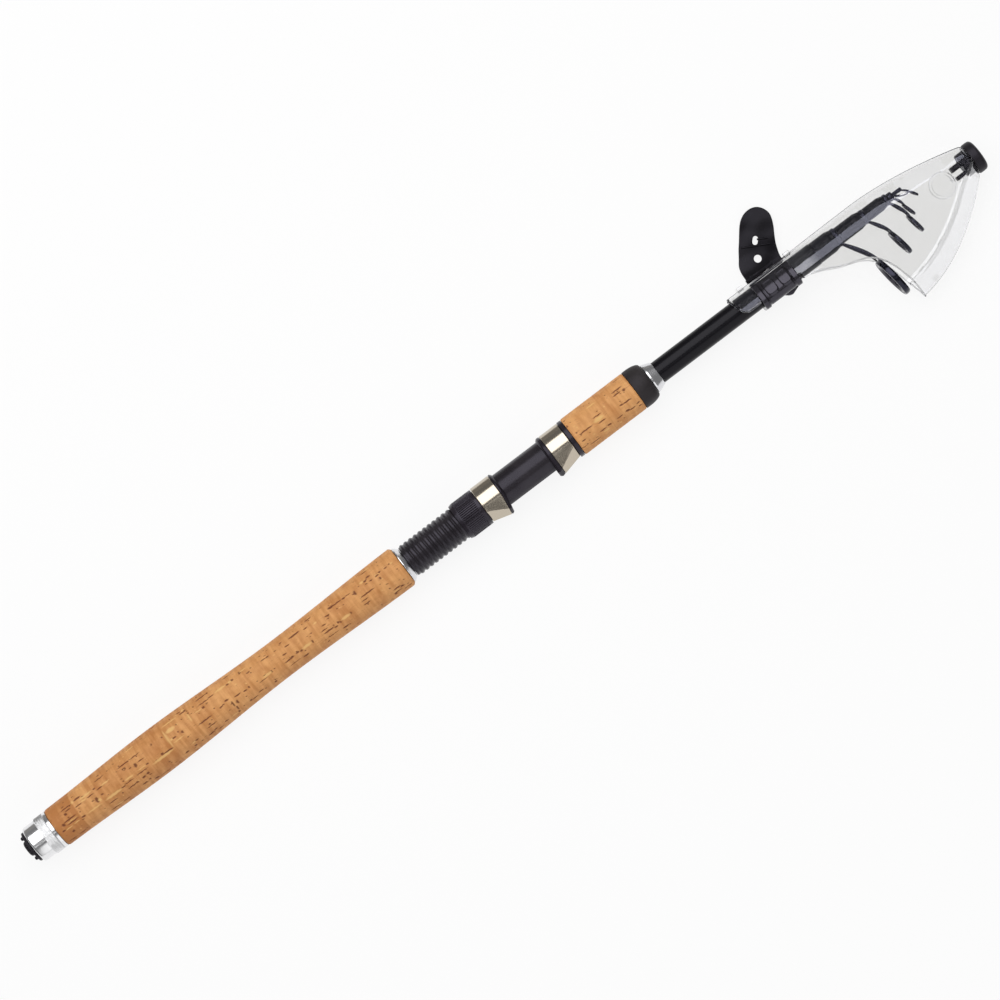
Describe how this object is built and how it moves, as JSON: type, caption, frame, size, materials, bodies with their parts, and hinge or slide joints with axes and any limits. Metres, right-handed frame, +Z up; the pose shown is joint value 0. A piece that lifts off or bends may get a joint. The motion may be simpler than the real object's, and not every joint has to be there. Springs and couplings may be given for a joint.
{
  "type": "telescopic spinning rod",
  "caption": "Closed telescopic travel spinning rod with cork grips, screw-down reel seat, folding line guides under a clear strapped tip cover.",
  "frame": {"origin": "centre of the butt pad's flat end face, on the rod's axis", "axes": "+X along the rod from butt to tip, guides towards -Y, +Z up off the side that it lies on"},
  "size_m": [0.7074, 0.1053, 0.0284],
  "materials": {
    "cork": "satin cork with brown pits",
    "rubber": "matte",
    "aluminium": "polished, with a matte knurled band",
    "nickel": "warm polished nickel",
    "black_plastic": "satin",
    "blank": "gloss clear-coated composite",
    "guide_metal": "black",
    "ceramic": "polished",
    "clear": "clear, lightly tinted grey"
  },
  "bodies": {
    "rod_butt": {"butt_section": "blank", "butt_ferrule": "aluminium", "rear_grip_cork": "cork", "rear_winding_check": "aluminium", "seat_body": "black_plastic", "seat_arbor_rear": "black_plastic", "seat_arbor_front": "black_plastic", "fixed_hood": "nickel", "fixed_hood_liner": "black_plastic", "seat_trim_ring": "black_plastic", "fore_grip_cork": "cork", "fore_grip_end_ring": "rubber", "front_winding_check": "aluminium"},
    "cap_seal": {"cap_cushion": "rubber"},
    "cap": {"butt_cap": "aluminium", "butt_pad": "rubber"},
    "hood": {"sliding_hood": "nickel", "sliding_hood_liner": "black_plastic"},
    "nut": {"lock_nut": "black_plastic"},
    "section_2": {"section_2": "blank", "guide_sleeve_2": "blank", "guide_1_frame": "guide_metal", "guide_1_ring": "ceramic"},
    "section_3": {"section_3": "blank", "guide_sleeve_3": "blank", "guide_2_frame": "guide_metal", "guide_2_ring": "ceramic"},
    "section_4": {"section_4": "blank", "guide_sleeve_4": "blank", "guide_3_frame": "guide_metal", "guide_3_ring": "ceramic"},
    "section_5": {"section_5": "blank", "guide_4_frame": "guide_metal", "guide_4_ring": "ceramic"},
    "section_6": {"section_6": "blank", "tip_top_frame": "guide_metal", "tip_top_ring": "ceramic"},
    "cover": {"cover_shell": "clear", "strap_wrap": "rubber"},
    "tongue": {"strap_tongue": "rubber"},
    "plug": {"nose_plug": "rubber"}
  },
  "joints": [
    {"name": "cover_slide", "type": "slide", "parent": "rod_butt", "child": "cover", "axis": [1, 0, 0], "range_m": [0, 2.2], "deforming": ["strap_wrap"]},
    {"name": "section_2_slide", "type": "slide", "parent": "rod_butt", "child": "section_2", "axis": [1, 0, 0], "range_m": [0, 0.41]},
    {"name": "section_3_slide", "type": "slide", "parent": "section_2", "child": "section_3", "axis": [1, 0, 0], "range_m": [0, 0.41]},
    {"name": "section_4_slide", "type": "slide", "parent": "section_3", "child": "section_4", "axis": [1, 0, 0], "range_m": [0, 0.41]},
    {"name": "section_5_slide", "type": "slide", "parent": "section_4", "child": "section_5", "axis": [1, 0, 0], "range_m": [0, 0.41]},
    {"name": "section_6_slide", "type": "slide", "parent": "section_5", "child": "section_6", "axis": [1, 0, 0], "range_m": [0, 0.41]},
    {"name": "hood_slide", "type": "slide", "parent": "rod_butt", "child": "hood", "axis": [1, 0, 0], "range_m": [-0.0379, 0.0035]},
    {"name": "nut_turn", "type": "hinge", "parent": "hood", "child": "nut", "pos_m": [0.333, 0, 0], "axis": [1, 0, 0], "range_deg": [-3900, 360]},
    {"name": "cap_slide", "type": "slide", "parent": "rod_butt", "child": "cap_seal", "axis": [1, 0, 0], "range_m": [-0.0079, 0]},
    {"name": "cap_turn", "type": "hinge", "parent": "cap_seal", "child": "cap", "pos_m": [0.013, 0, 0], "axis": [1, 0, 0], "range_deg": [-2300, 0]},
    {"name": "tongue_fold", "type": "hinge", "parent": "cover", "child": "tongue", "pos_m": [0.5487, 0.0093, -0.01155], "axis": [1, 0, 0], "range_deg": [-60, 60], "stiffness_Nm_per_rad": 0.02},
    {"name": "plug_slide", "type": "slide", "parent": "cover", "child": "plug", "axis": [1, 0, 0], "range_m": [0, 0.022]}
  ],
  "couplings": [
    {"joint": "section_2_slide", "follows": "cover_slide", "ratio": 0.18636},
    {"joint": "section_3_slide", "follows": "cover_slide", "ratio": 0.18636},
    {"joint": "section_4_slide", "follows": "cover_slide", "ratio": 0.18636},
    {"joint": "section_5_slide", "follows": "cover_slide", "ratio": 0.18636},
    {"joint": "section_6_slide", "follows": "cover_slide", "ratio": 0.18636},
    {"joint": "nut_turn", "follows": "hood_slide", "rad_per_m": 1795.2},
    {"joint": "cap_turn", "follows": "cap_slide", "rad_per_m": 5026.5}
  ]
}
